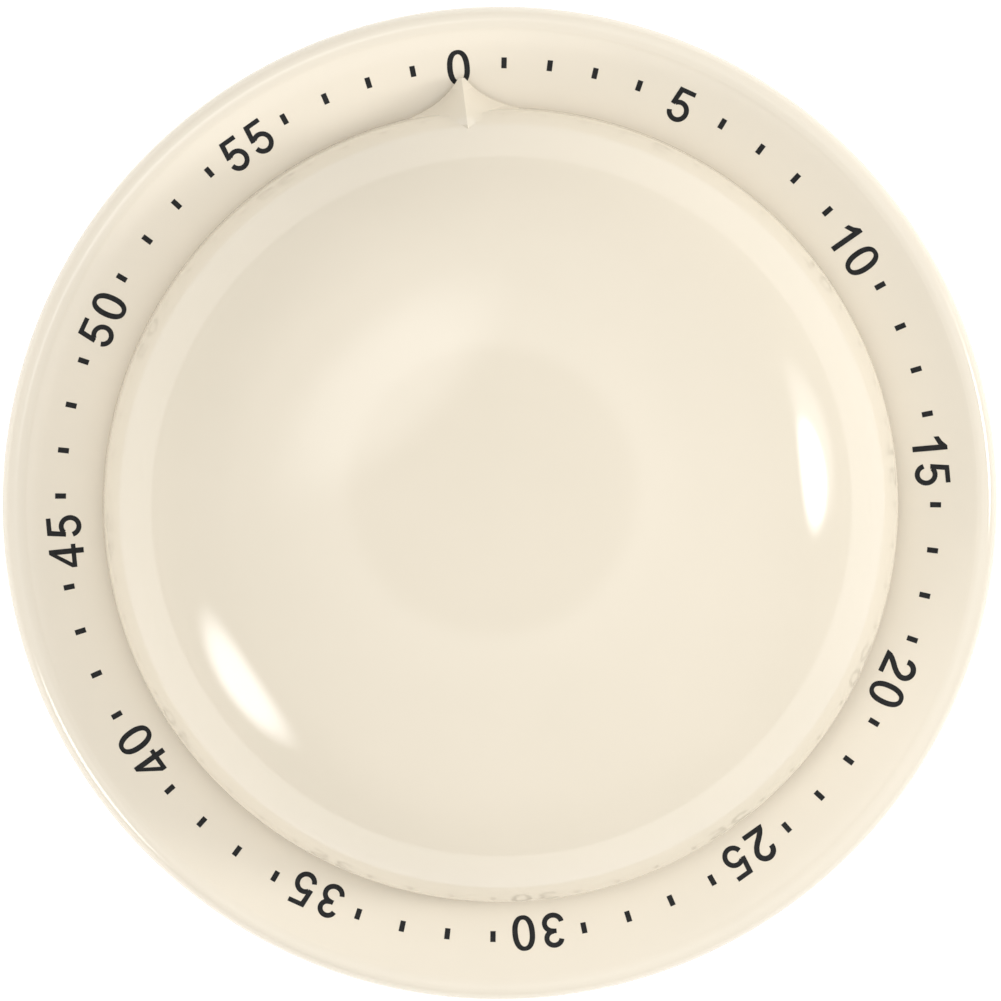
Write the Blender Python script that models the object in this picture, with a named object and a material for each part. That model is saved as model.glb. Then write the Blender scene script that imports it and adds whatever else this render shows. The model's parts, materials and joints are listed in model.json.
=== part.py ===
"""A wind-up kitchen timer: a domed knob over a dished dial, with its movement and bell inside.

Lengths are in millimetres and angles in degrees. +Z is up, the dial faces up and zero on the dial is at +Y.
Each wheel, lever and arbor has its origin on the axis that it turns about.
"""

import math

import bmesh
import bpy

METRES_PER_MM = 0.001

# Outside shape
OVERALL_RADIUS = 40.0
SEAM_Z = 19.3
SEAM_GAP = 0.3
SHELL_WALL = 1.6
CASE_SEGMENTS = 44

# Dial: flat under the edge of the knob, then rising in a gentle arc to the crest of the rim, which rolls over
# in arcs of (slope in degrees where the arc ends, radius, steps)
DISH_FLOOR_Z = 22.4
DISH_START_RADIUS = 31.0
DISH_END_RADIUS = 38.35
DISH_ARC_RADIUS = 37.5
RIM_ARCS = ((13.0, 3.0, 1), (112.0, 1.29, 6))
DECK_TOP_Z = 27.6
DECK_BOTTOM_Z = 26.0
DECK_RADIUS = 29.3
DECK_CHAMFER = 2.0
CAVITY_RADIUS = 28.1
DECK_BORE_RADIUS = 2.4
DIAL_UNDER_Z = 20.8
LIP_OUTER, LIP_INNER, LIP_DEPTH = 37.6, 36.4, 1.4  # the ring that locates the front shell in the rear one
SHOULDER_RADIUS = 39.6

# Knob, as arcs from the top down: (slope in degrees where the arc ends, radius, steps)
KNOB_ARCS = ((19.8, 64.5, 3), (66.0, 16.9, 6), (86.0, 4.0, 3))
KNOB_INNER_STEPS = (2, 3, 2)
KNOB_SIDE_HEIGHT = 1.9
KNOB_BOTTOM_Z = 22.8
KNOB_WALL = 1.8
KNOB_EDGE = 0.25
SOCKET_RADIUS, SOCKET_BOTTOM_Z, SOCKET_DEPTH = 4.2, 28.7, 4.0
FLANGE_RADIUS, FLANGE_BOTTOM_Z = 9.0, 35.0
GLUE_GAP = 0.35
NIB_TIP_RADIUS = 34.4
NIB_ROOT_RADIUS = 30.5
NIB_END_RADIUS = 30.1
NIB_LEAN = 0.75  # how far the foot of a section lies back from the tip, as a share of its ridge
NIB_WIDTHS = (0.25, 2.16, 2.11)  # the half width is a + b * along + c * along**3
NIB_PROUD = 0.35
NIB_BOTTOM_Z = 22.95
NIB_EDGE = 0.5
NIB_STEPS = 6

# Rear shell and foot
BASE_RADIUS = 32.6
BASE_Z = 1.0
BASE_CORNER = 1.2
FLOOR_TOP_Z = 3.2
FOOT_INNER, FOOT_OUTER, FOOT_TOP_Z = 19.0, 26.0, 1.6
FOOT_GAP = 0.3
SOUND_SLOTS = 8
SOUND_SLOT = (7.5, 16.0, 1.8)  # inner radius, outer radius, width
POST_ANGLES = (30.0, 150.0, 270.0)
POST_CIRCLE = 29.0
POST_JOIN_Z = 13.8
FRONT_POST_RADIUS, FRONT_POST_TOP_Z, CASE_PILOT_RADIUS, CASE_PILOT_TOP_Z = 2.6, 21.6, 1.05, 20.0
REAR_POST_RADIUS, CASE_CLEARANCE_RADIUS, HEAD_RECESS_RADIUS = 3.0, 1.15, 2.25
BOSS_RADIUS, BOSS_GAP, BOSS_PILOT_RADIUS, BOSS_PILOT_TOP_Z = 2.2, 0.15, 0.95, 27.1
CASE_SCREW = ((2.0, 1.6, 3.6), (0.9, 3.6, 19.6))  # head and shank: radius, bottom z, top z
PLATE_SCREW = ((1.5, 24.1, 25.0), (0.7, 20.6, 24.1))
MOVEMENT_SCREW = ((1.7, 21.8, 22.9), (0.8, 22.9, 26.8))
BELL_SCREW = ((2.2, 3.9, 4.85), (0.9, 4.85, 9.6))
SCREW_SLOT_HALF_WIDTH = 0.22

# Movement frame
REAR_PLATE = (12.2, 13.2)
FRONT_PLATE = (23.0, 24.0)
REAR_PLATE_RADIUS = 25.5
FRONT_PLATE_RADIUS = 27.8
PILLAR_CIRCLE = 23.5
PILLAR_ANGLES = (125.0, 200.0, 270.0, 340.0)
PILLAR_RADIUS = 1.6
PILLAR_BORE_RADIUS, PILLAR_BORE_BOTTOM_Z = 0.85, 20.2
PILLAR_TENON_RADIUS, PILLAR_TENON_BOTTOM_Z = 0.9, 12.1
PIVOT_RADIUS, PIVOT_HOLE_RADIUS = 0.45, 0.58
STUD_RADIUS = 0.5
MOVEMENT_SCREW_CIRCLE = 24.0
MOVEMENT_SCREW_ANGLES = (75.0, 180.0, 300.0)
SHAFT_GAP = 0.1
PLATE_GAP = 0.1
CUT_PAST = 1.0  # how far a cutting shape runs past the face that it opens

# Wheel train: (teeth, module); each pinion is cut on the next arbor
GREAT_GEAR, SECOND_PINION = (48, 0.625), (8, 0.625)
SECOND_GEAR, THIRD_PINION = (40, 0.5), (8, 0.5)
THIRD_GEAR, ESCAPE_PINION = (36, 7 / 15), (6, 7 / 15)
# Gear teeth: addendum and dedendum in modules, half root and half tip width in pitches
WHEEL_TOOTH = (0.9, 1.0, 0.24, 0.11)
PINION_TOOTH = (0.75, 1.05, 0.19, 0.08)
ESCAPE_TEETH, ESCAPE_RADIUS, ESCAPE_ROOT = 20, 5.0, 4.0
ESCAPE_TOOTH = (-0.28, -0.06, 0.06, 0.12)  # root, tip, tip and root, in pitches from the tooth's centre
STRIKE_TEETH, STRIKE_RADIUS, STRIKE_ROOT = 10, 4.5, 3.0
THIRD_FROM_CENTRE = 18.9
ESCAPE_FROM_CENTRE = 18.5
PALLET_FROM_CENTRE = 19.0
PALLET_REACH = 5.235  # pallet pins from the escape arbor, just outside its teeth
PALLET_HALF_SPAN = 22.5

# Heights of the layers between the plates
GREAT_Z = (14.0, 15.0)
SECOND_PINION_Z = (13.6, 15.4)
SECOND_Z = (16.0, 16.8)
THIRD_PINION_Z = (15.6, 17.2)
THIRD_Z = (18.5, 19.2)
ESCAPE_PINION_Z = (18.1, 19.6)
ESCAPE_Z = (20.8, 21.3)
PALLET_Z = (21.7, 22.3)
BALANCE_Z = (15.6, 17.4)
CAM_Z = (15.7, 16.5)
STRIKE_Z = (20.4, 21.2)
MAINSPRING_Z = (17.8, 22.2)
STOP_Z = (24.6, 25.4)
HAMMER_Z = (9.7, 10.4)

# Stop, cam, striker and spring
MAIN_ARBOR_RADIUS = 1.5
MAIN_ARBOR_TOP_Z = 32.4
STOP_CIRCLE, STOP_PIN_RADIUS, STOP_TAB_WIDTH = 10.0, 0.25, 0.45
STOP_PIN_ANGLE, STOP_CLEAR_ANGLE = 60.0, 3.0
CAM_RADIUS, CAM_NOTCH_RADIUS, CAM_NOTCH_HALF = 5.5, 4.0, 12.0
LEVER_PIVOT = (-17.5, -2.0)
LEVER_BEAK_CLEAR = 0.15
LEVER_BEAK_LENGTH = 1.5
LEVER_WIDTH = 1.3
LEVER_ARM = 11.6
HAMMER_PIVOT_RADIUS, HAMMER_PIVOT_ANGLE = 17.0, 135.0
HAMMER_HEAD_POINT = (-18.93, 5.79)
HAMMER_HEAD_RADIUS = 1.6
HAMMER_TAIL_CLEAR = 0.15
HAMMER_BEAK_LENGTH = 1.1
MAINSPRING_TURNS, MAINSPRING_STEPS = 5.25, 18
MAINSPRING_RADII = (2.1, 9.6)
MAINSPRING_THICKNESS = 0.3
SPRING_POST = (10.6, 215.0)  # distance from the centre and angle

FINISHES = {
    "cream_gloss": ((0.86, 0.79, 0.66), 0.0, 0.2),
    "steel": ((0.62, 0.62, 0.64), 1.0, 0.35),
    "brass": ((0.78, 0.6, 0.28), 1.0, 0.3),
    "spring_steel": ((0.3, 0.33, 0.4), 1.0, 0.3),
    "rubber": ((0.06, 0.06, 0.06), 0.0, 0.8),
    "bell_metal": ((0.75, 0.75, 0.76), 1.0, 0.2),
}


def polar(radius, angle):
    """Point at this distance from the centre, anticlockwise from +X."""
    turn = math.radians(angle)
    return radius * math.cos(turn), radius * math.sin(turn)


def along_line(along, side, turn):
    """Point this far along a line at this angle from the origin, and this far to its left."""
    return polar(math.hypot(along, side), turn + math.degrees(math.atan2(side, along)))


def moved(points, shift):
    return [(x + shift[0], y + shift[1]) for x, y in points]


def ring(radius, count, centre=(0.0, 0.0)):
    return moved([polar(radius, 360 * i / count) for i in range(count)], centre)


def sector(inner, outer, start, end, steps=3):
    """Closed outline of a piece of a ring between two angles."""
    angles = [start + (end - start) * i / steps for i in range(steps + 1)]
    return [polar(inner, a) for a in angles] + [polar(outer, a) for a in reversed(angles)]


def windows(inner, outer, count, spoke):
    """Openings between the spokes of a wheel; spoke is their width in degrees."""
    pitch = 360 / count
    return [sector(inner, outer, i * pitch + spoke / 2, (i + 1) * pitch - spoke / 2) for i in range(count)]


def finish_of(name):
    material = bpy.data.materials.get(name)
    if material:
        return material
    colour, metallic, roughness = FINISHES[name]
    material = bpy.data.materials.new(name)
    material.use_nodes = True
    shader = material.node_tree.nodes["Principled BSDF"]
    shader.inputs["Base Color"].default_value = (*colour, 1.0)
    shader.inputs["Metallic"].default_value = metallic
    shader.inputs["Roughness"].default_value = roughness
    return material


def solid(name, points, faces, finish, at=(0.0, 0.0)):
    """Object from vertices and faces, with its origin on the vertical line through at."""
    mesh = bpy.data.meshes.new(name)
    mesh.from_pydata([[METRES_PER_MM * c for c in point] for point in points], [], faces)
    shape = bmesh.new()
    shape.from_mesh(mesh)
    bmesh.ops.recalc_face_normals(shape, faces=shape.faces)
    shape.to_mesh(mesh)
    shape.free()
    if finish:
        mesh.materials.append(finish_of(finish))
    item = bpy.data.objects.new(name, mesh)
    item.location = (METRES_PER_MM * at[0], METRES_PER_MM * at[1], 0)
    bpy.context.scene.collection.objects.link(item)
    return item


def lathe(name, profile, finish=None, at=(0.0, 0.0), segments=16):
    """Solid of revolution about the vertical through at; profile is a closed loop of (radius, z)."""
    points, rows = [], []
    for radius, z in profile:
        if radius == 0:
            rows.append([len(points)] * segments)
            points.append((0.0, 0.0, z))
            continue
        rows.append(list(range(len(points), len(points) + segments)))
        points += [(x, y, z) for x, y in ring(radius, segments)]
    faces = []
    for row, following in zip(rows, rows[1:] + rows[:1]):
        for i in range(segments):
            j = (i + 1) % segments
            corners = list(dict.fromkeys((row[i], row[j], following[j], following[i])))
            if len(corners) > 2:
                faces.append(corners)
    return solid(name, points, faces, finish, at)


def rod(name, steps, finish=None, at=(0.0, 0.0), segments=16):
    """Stepped round bar: steps are (radius, bottom z, top z) from the bottom up."""
    profile = [(0.0, steps[0][1])]
    for radius, low, high in steps:
        profile += [(radius, low), (radius, high)]
    return lathe(name, profile + [(0.0, steps[-1][2])], finish, at, segments)


def tube(name, inner, outer, heights, finish=None, at=(0.0, 0.0), segments=24):
    low, high = heights
    return lathe(name, [(inner, low), (outer, low), (outer, high), (inner, high)], finish, at, segments)


def prism(name, outline, holes, heights, finish=None, at=(0.0, 0.0)):
    """Flat plate between two heights, with an outline and holes given as closed loops of points."""
    flat, loops = bmesh.new(), []
    for loop in (outline, *holes):
        corners = [flat.verts.new((x, y, 0)) for x, y in loop]
        for a, b in zip(corners, corners[1:] + corners[:1]):
            flat.edges.new((a, b))
        loops.append(len(corners))
    flat.verts.index_update()
    bmesh.ops.triangle_fill(flat, edges=flat.edges[:], use_beauty=True)
    flat.verts.index_update()
    places = [(v.co.x, v.co.y) for v in flat.verts]
    caps = [[v.index for v in face.verts] for face in flat.faces]
    flat.free()
    count = len(places)
    points = [(x, y, heights[0]) for x, y in places] + [(x, y, heights[1]) for x, y in places]
    faces = caps + [[i + count for i in reversed(cap)] for cap in caps]
    start = 0
    for length in loops:
        for i in range(length):
            a, b = start + i, start + (i + 1) % length
            faces.append([a, b, b + count, a + count])
        start += length
    return solid(name, points, faces, finish, at)


def gathered(others):
    """One helper object holding the shapes of several."""
    shape = bmesh.new()
    for other in others:
        other.data.transform(other.matrix_basis)
        shape.from_mesh(other.data)
        bpy.data.objects.remove(other)
    bmesh.ops.triangulate(shape, faces=shape.faces)
    mesh = bpy.data.meshes.new("helper")
    shape.to_mesh(mesh)
    shape.free()
    helper = bpy.data.objects.new("helper", mesh)
    bpy.context.scene.collection.objects.link(helper)
    return helper


def combine(item, others, operation):
    """Joins the other shapes to item or cuts them away in one step, and removes them."""
    helper = gathered(others)
    step = item.modifiers.new(operation, "BOOLEAN")
    step.operation = operation
    step.solver = "EXACT"
    step.object = helper
    bpy.context.view_layer.update()
    result = bpy.data.meshes.new_from_object(item.evaluated_get(bpy.context.evaluated_depsgraph_get()))
    item.modifiers.clear()
    item.data = result
    bpy.data.objects.remove(helper)
    return item


def joined(item, *others):
    return combine(item, others, "UNION")


def cut(item, *others):
    return combine(item, others, "DIFFERENCE")


def gear_outline(gear, tooth, phase):
    """Outline of a spur gear; phase is the angle of one tooth's centre."""
    teeth, module = gear
    addendum, dedendum, root_half, tip_half = tooth
    pitch = 360 / teeth
    root = module * (teeth / 2 - dedendum)
    tip = module * (teeth / 2 + addendum)
    points = []
    for i in range(teeth):
        centre = phase + i * pitch
        points.append(polar(root, centre - root_half * pitch))
        points.append(polar(tip, centre - tip_half * pitch))
        points.append(polar(tip, centre + tip_half * pitch))
        points.append(polar(root, centre + root_half * pitch))
    return points


def star_outline(teeth, tip, root, shares, phase):
    """Outline of a pointed wheel; shares are the four corners of a tooth, in pitches from its centre."""
    pitch = 360 / teeth
    points = []
    for i in range(teeth):
        for radius, share in zip((root, tip, tip, root), shares):
            points.append(polar(radius, phase + (i + share) * pitch))
    return points


def centre_distance(gear, pinion):
    return gear[1] * (gear[0] + pinion[0]) / 2


def angle_between(one, other):
    return math.degrees(math.atan2(other[1] - one[1], other[0] - one[0]))


def next_arbor(previous, previous_radius, radius, distance):
    """Point at this radius from the centre and this distance from the previous arbor, clockwise of it."""
    cosine = (previous_radius**2 + radius**2 - distance**2) / (2 * previous_radius * radius)
    return polar(radius, angle_between((0, 0), previous) - math.degrees(math.acos(cosine)))


def meshing_phase(gear, gear_phase, pinion, direction):
    """Angle of a pinion tooth that puts its gap on the gear's tooth; direction is from gear to pinion."""
    into_pitch = (direction - gear_phase) * gear[0] / 360
    return direction + 180 - (0.5 - into_pitch) * 360 / pinion[0]


MAIN = (0.0, 0.0)
SECOND_DISTANCE = centre_distance(GREAT_GEAR, SECOND_PINION)
SECOND = (0.0, SECOND_DISTANCE)
THIRD = next_arbor(SECOND, SECOND_DISTANCE, THIRD_FROM_CENTRE, centre_distance(SECOND_GEAR, THIRD_PINION))
ESCAPE = next_arbor(THIRD, THIRD_FROM_CENTRE, ESCAPE_FROM_CENTRE, centre_distance(THIRD_GEAR, ESCAPE_PINION))
PALLET_DISTANCE = PALLET_REACH / math.cos(math.radians(PALLET_HALF_SPAN))
PALLET = next_arbor(ESCAPE, ESCAPE_FROM_CENTRE, PALLET_FROM_CENTRE, PALLET_DISTANCE)
HAMMER = polar(HAMMER_PIVOT_RADIUS, HAMMER_PIVOT_ANGLE)


def dish_height(radius):
    rise = max(0.0, radius - DISH_START_RADIUS)
    return DISH_FLOOR_Z + rise**2 / (2 * DISH_ARC_RADIUS)


def knob_height():
    height, slope = KNOB_SIDE_HEIGHT, 0.0
    for end, radius, _ in KNOB_ARCS:
        height += radius * (math.cos(math.radians(slope)) - math.cos(math.radians(end)))
        slope = end
    return height


def arcs_down(radius, z, arcs, inset=0.0):
    """(radius, z) outwards and down from a level start, each arc starting where the last one ended."""
    curve, slope = [(radius, z - inset)], 0.0
    for end, bend, steps in arcs:
        for i in range(1, steps + 1):
            here = math.radians(slope + (end - slope) * i / steps)
            r = radius + bend * (math.sin(here) - math.sin(math.radians(slope)))
            h = z - bend * (math.cos(math.radians(slope)) - math.cos(here))
            curve.append((r - inset * math.sin(here), h - inset * math.cos(here)))
        radius, z, slope = r, h, end
    return curve


def knob_curve(steps, inset):
    """(radius, z) down the dome from its top to its side, inset by a wall."""
    arcs = [(end, bend, count) for (end, bend, _), count in zip(KNOB_ARCS, steps)]
    return arcs_down(0.0, KNOB_BOTTOM_Z + knob_height(), arcs, inset)


def nib():
    """Pointed ridge on the edge of the knob at zero, lofted from leaning five-cornered sections.

    Its flanks widen from the tip as a cubic, and its ridge drops into the dome at its inner end.
    """
    edge_z = NIB_BOTTOM_Z + NIB_EDGE
    tip_z, root_z = edge_z + 0.1, dome_z(NIB_ROOT_RADIUS) + NIB_PROUD
    stations = []
    for i in range(NIB_STEPS + 1):
        along = i / NIB_STEPS
        ridge = NIB_TIP_RADIUS - along * (NIB_TIP_RADIUS - NIB_ROOT_RADIUS)
        stations.append((along, ridge, tip_z + along * (root_z - tip_z)))
    stations.append((1.0, NIB_END_RADIUS, dome_z(NIB_END_RADIUS) - 0.15))
    points, faces = [], []
    for along, ridge_y, ridge_z in stations:
        foot_y = NIB_TIP_RADIUS - (NIB_TIP_RADIUS - ridge_y) * NIB_LEAN
        half = NIB_WIDTHS[0] + NIB_WIDTHS[1] * along + NIB_WIDTHS[2] * along**3
        points += [(-half, foot_y, NIB_BOTTOM_Z), (half, foot_y, NIB_BOTTOM_Z)]
        points += [(half, foot_y, edge_z), (0.0, ridge_y, ridge_z), (-half, foot_y, edge_z)]
    last = len(stations) - 1
    for i in range(last):
        for j in range(5):
            k = (j + 1) % 5
            faces.append([5 * i + j, 5 * i + k, 5 * i + 5 + k, 5 * i + 5 + j])
    faces += [list(range(5)), list(range(5 * last, 5 * last + 5))]
    return solid("nib", points, faces, None)


def dome_z(radius):
    """Height of the outside of the dome at this radius, on its second arc."""
    (first_end, first, _), (_, second, _), _ = KNOB_ARCS
    start = math.radians(first_end)
    sine = math.sin(start) + (radius - first * math.sin(start)) / second
    fall = first * (1 - math.cos(start)) + second * (math.cos(start) - math.sqrt(1 - sine**2))
    return KNOB_BOTTOM_Z + knob_height() - fall


def knob_shell():
    outer = knob_curve([steps for _, _, steps in KNOB_ARCS], 0.0)
    inner = knob_curve(KNOB_INNER_STEPS, KNOB_WALL)
    side_radius = outer[-1][0] + 0.1
    edge = [(side_radius, KNOB_BOTTOM_Z + KNOB_EDGE), (side_radius - KNOB_EDGE, KNOB_BOTTOM_Z)]
    edge.append((inner[-1][0], KNOB_BOTTOM_Z))
    shell = lathe("knob_shell", outer + edge + inner[::-1], "cream_gloss", segments=CASE_SEGMENTS)
    return joined(shell, nib())


def knob_hub():
    """Socket glued inside the dome; the arbor fits its blind bore."""
    top = KNOB_BOTTOM_Z + knob_height() - KNOB_WALL - GLUE_GAP
    bore, bore_top = MAIN_ARBOR_RADIUS + SHAFT_GAP, SOCKET_BOTTOM_Z + SOCKET_DEPTH
    profile = [(0.0, bore_top), (bore, bore_top), (bore, SOCKET_BOTTOM_Z), (SOCKET_RADIUS, SOCKET_BOTTOM_Z)]
    profile += [(SOCKET_RADIUS, bore_top + 0.7), (FLANGE_RADIUS, FLANGE_BOTTOM_Z)]
    profile += [(FLANGE_RADIUS, top - 0.7), (5.0, top - 0.2), (0.0, top)]
    lathe("knob_hub", profile, "cream_gloss", segments=32)
    washer = (DECK_TOP_Z + PLATE_GAP, DECK_TOP_Z + 0.8)
    tube("hub_washer", MAIN_ARBOR_RADIUS + 0.15, SOCKET_RADIUS + 1.0, washer, "steel")


def front_shell():
    steps = 5
    dish = []
    for i in range(steps + 1):
        radius = DISH_START_RADIUS + (DISH_END_RADIUS - DISH_START_RADIUS) * i / steps
        dish.append((radius, dish_height(radius)))
    deck = [(DECK_BORE_RADIUS, DECK_BOTTOM_Z), (DECK_BORE_RADIUS, DECK_TOP_Z)]
    deck += [(DECK_RADIUS - DECK_CHAMFER, DECK_TOP_Z), (DECK_RADIUS, DECK_TOP_Z - DECK_CHAMFER)]
    deck.append((DECK_RADIUS, DISH_FLOOR_Z))
    seam = SEAM_Z + SEAM_GAP / 2
    lip = [(SHOULDER_RADIUS, seam), (LIP_OUTER, seam), (LIP_OUTER, seam - LIP_DEPTH)]
    lip += [(LIP_INNER, seam - LIP_DEPTH), (LIP_INNER, DIAL_UNDER_Z + 0.2)]
    under = [(DISH_START_RADIUS, DIAL_UNDER_Z), (CAVITY_RADIUS, DIAL_UNDER_Z)]
    under += [(CAVITY_RADIUS, DECK_BOTTOM_Z - 1.1), (CAVITY_RADIUS - 1.1, DECK_BOTTOM_Z)]
    rim = arcs_down(DISH_END_RADIUS, dish_height(DISH_END_RADIUS), RIM_ARCS)
    shell = lathe("front_shell", deck + dish + rim[1:] + lip + under, "cream_gloss", segments=CASE_SEGMENTS)
    posts, bores = [], []
    for angle in POST_ANGLES:
        place = polar(POST_CIRCLE, angle)
        post = (FRONT_POST_RADIUS, POST_JOIN_Z + SEAM_GAP - 0.1, FRONT_POST_TOP_Z)
        posts.append(rod("post", [post], at=place, segments=14))
        bore = (CASE_PILOT_RADIUS, POST_JOIN_Z - CUT_PAST, CASE_PILOT_TOP_Z)
        bores.append(rod("bore", [bore], at=place, segments=10))
    for angle in MOVEMENT_SCREW_ANGLES:
        place = polar(MOVEMENT_SCREW_CIRCLE, angle)
        boss = (BOSS_RADIUS, FRONT_PLATE[1] + BOSS_GAP, DECK_BOTTOM_Z + 0.6)
        posts.append(rod("boss", [boss], at=place, segments=14))
        bore = (BOSS_PILOT_RADIUS, FRONT_PLATE[1] - CUT_PAST, BOSS_PILOT_TOP_Z)
        bores.append(rod("bore", [bore], at=place, segments=10))
    joined(shell, *posts)
    cut(shell, *bores)


def rear_shell():
    """Bowl with a flat floor, a groove for the foot, screw posts and slots that let the bell sound out."""
    top, steps = SEAM_Z - SEAM_GAP / 2, 6
    low = BASE_Z + BASE_CORNER
    outer = []
    for i in range(steps + 1):
        up = i / steps
        swell = (OVERALL_RADIUS - 0.55 - BASE_RADIUS) * (1 - (1 - up) ** 1.8)
        outer.append((BASE_RADIUS + swell, low + up * (top - low)))
    inner = [(radius - SHELL_WALL - 0.05, z) for radius, z in outer[::-2] if z > FLOOR_TOP_Z + 1]
    floor = [(BASE_RADIUS - SHELL_WALL - 1, FLOOR_TOP_Z), (0.0, FLOOR_TOP_Z), (0.0, BASE_Z)]
    groove_inner, groove_outer = FOOT_INNER - FOOT_GAP, FOOT_OUTER + FOOT_GAP
    groove_z = FOOT_TOP_Z + FOOT_GAP
    groove = [(groove_inner, BASE_Z), (groove_inner, groove_z)]
    groove += [(groove_outer, groove_z), (groove_outer, BASE_Z)]
    corner = [(BASE_RADIUS - BASE_CORNER, BASE_Z), (BASE_RADIUS - 0.3, BASE_Z + 0.35)]
    profile = outer + inner + floor + groove + corner
    shell = lathe("rear_shell", profile, "cream_gloss", segments=CASE_SEGMENTS)
    posts, openings = [], []
    for angle in POST_ANGLES:
        place = polar(POST_CIRCLE, angle)
        posts.append(rod("post", [(REAR_POST_RADIUS, FLOOR_TOP_Z - 0.8, POST_JOIN_Z)], at=place, segments=14))
        recess = (HEAD_RECESS_RADIUS, BASE_Z - CUT_PAST, FLOOR_TOP_Z + 0.6)
        clearance = (CASE_CLEARANCE_RADIUS, FLOOR_TOP_Z + 0.6, POST_JOIN_Z + CUT_PAST)
        openings.append(rod("bore", [recess, clearance], at=place, segments=14))
    inside, outside, width = SOUND_SLOT
    for i in range(SOUND_SLOTS):
        turn = 360 * (i + 0.5) / SOUND_SLOTS
        half = math.degrees(width / 2 / inside), math.degrees(width / 2 / outside)
        outline = [polar(inside, turn - half[0]), polar(outside, turn - half[1])]
        outline += [polar(outside, turn + half[1]), polar(inside, turn + half[0])]
        openings.append(prism("slot", outline, [], (BASE_Z - CUT_PAST, FLOOR_TOP_Z + CUT_PAST)))
    joined(shell, *posts)
    cut(shell, *openings)


def screw(name, at, head, shank, slot):
    """Slotted screw: head and shank are (radius, bottom z, top z); the slot is cut between two heights."""
    steps = sorted([head, shank], key=lambda step: step[1])
    item = rod(name, steps, "steel", at, segments=10)
    reach, half = head[0] + 0.5, SCREW_SLOT_HALF_WIDTH
    bar = [(-reach, -half), (reach, -half), (reach, half), (-reach, half)]
    return cut(item, prism("slot", bar, [], slot, at=at))


def case():
    front_shell()
    rear_shell()
    tube("foot_ring", FOOT_INNER, FOOT_OUTER, (0.0, FOOT_TOP_Z), "rubber", segments=44)
    for i, angle in enumerate(POST_ANGLES, 1):
        screw(f"case_screw_{i}", polar(POST_CIRCLE, angle), *CASE_SCREW, slot=(1.0, 2.3))


def plate_holes(places, radius, count=10):
    return [ring(radius, count, place) for place in places]


def frame():
    """Two plates held apart by pillars, with the screws that hold it together and in the case."""
    pillars = [polar(PILLAR_CIRCLE, angle) for angle in PILLAR_ANGLES]
    fixings = [polar(MOVEMENT_SCREW_CIRCLE, angle) for angle in MOVEMENT_SCREW_ANGLES]
    pivots = [SECOND, THIRD, ESCAPE, PALLET]
    rear_holes = plate_holes(pillars, PILLAR_TENON_RADIUS + 0.15) + plate_holes(pivots, PIVOT_HOLE_RADIUS)
    rear_holes += plate_holes([HAMMER], 0.75) + plate_holes([MAIN], 1.12) + plate_holes([LEVER_PIVOT], 0.6)
    rear = prism("rear_plate", ring(REAR_PLATE_RADIUS, 40), rear_holes, REAR_PLATE, "brass")
    notch = [(2.5, REAR_PLATE[0] - 1, REAR_PLATE[1] + 1)]
    cut(rear, *[rod("notch", notch, at=place) for place in fixings])
    stop_pin_place = polar(STOP_CIRCLE, STOP_PIN_ANGLE)
    front_holes = plate_holes(pillars + fixings, 1.0) + plate_holes(pivots + [HAMMER], PIVOT_HOLE_RADIUS)
    front_holes += plate_holes([MAIN], MAIN_ARBOR_RADIUS + SHAFT_GAP) + plate_holes([stop_pin_place], 0.36)
    front_holes += plate_holes([polar(*SPRING_POST)], 0.62)
    prism("front_plate", ring(FRONT_PLATE_RADIUS, 40), front_holes, FRONT_PLATE, "brass")
    for i, place in enumerate(pillars, 1):
        low, high = REAR_PLATE[1] + PLATE_GAP, FRONT_PLATE[0] - PLATE_GAP
        profile = [(0.0, PILLAR_TENON_BOTTOM_Z), (PILLAR_TENON_RADIUS, PILLAR_TENON_BOTTOM_Z)]
        profile += [(PILLAR_TENON_RADIUS, low), (PILLAR_RADIUS, low), (PILLAR_RADIUS, high)]
        profile += [(PILLAR_BORE_RADIUS, high), (PILLAR_BORE_RADIUS, PILLAR_BORE_BOTTOM_Z)]
        profile.append((0.0, PILLAR_BORE_BOTTOM_Z))
        lathe(f"pillar_{i}", profile, "brass", place)
        screw(f"plate_screw_{i}", place, *PLATE_SCREW, slot=(24.6, 26.0))
    for i, place in enumerate(fixings, 1):
        screw(f"movement_screw_{i}", place, *MOVEMENT_SCREW, slot=(21.0, 22.3))
    rod("stop_pin", [(STOP_PIN_RADIUS, 23.1, 25.7)], "steel", stop_pin_place, segments=10)
    spring_post = (STUD_RADIUS, MAINSPRING_Z[0] - 0.4, FRONT_PLATE[1] - PLATE_GAP)
    rod("spring_post", [spring_post], "steel", polar(*SPRING_POST), segments=12)
    release_stud = (STUD_RADIUS, REAR_PLATE[0] + PLATE_GAP, CAM_Z[1] + 0.7)
    rod("release_stud", [release_stud], "steel", LEVER_PIVOT, segments=12)


def arbor(name, place, body):
    """Turned bar of this radius between the plates, with a thinner pivot in each of them."""
    low, high = REAR_PLATE[1] + 0.15, FRONT_PLATE[0] - 0.2
    steps = [(PIVOT_RADIUS, REAR_PLATE[0] + PLATE_GAP, low), (body, low, high)]
    steps.append((PIVOT_RADIUS, high, FRONT_PLATE[1] - PLATE_GAP))
    return rod(name, steps, "steel", place, segments=12)


def wheel(name, gear, phase, heights, bore, opening, place):
    outline = gear_outline(gear, WHEEL_TOOTH, phase)
    holes = [ring(bore, 12)] + windows(*opening)
    return prism(name, outline, holes, heights, "brass", place)


def pinion(gear, phase, heights, place):
    return prism("pinion", gear_outline(gear, PINION_TOOTH, phase), [], heights, at=place)


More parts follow.
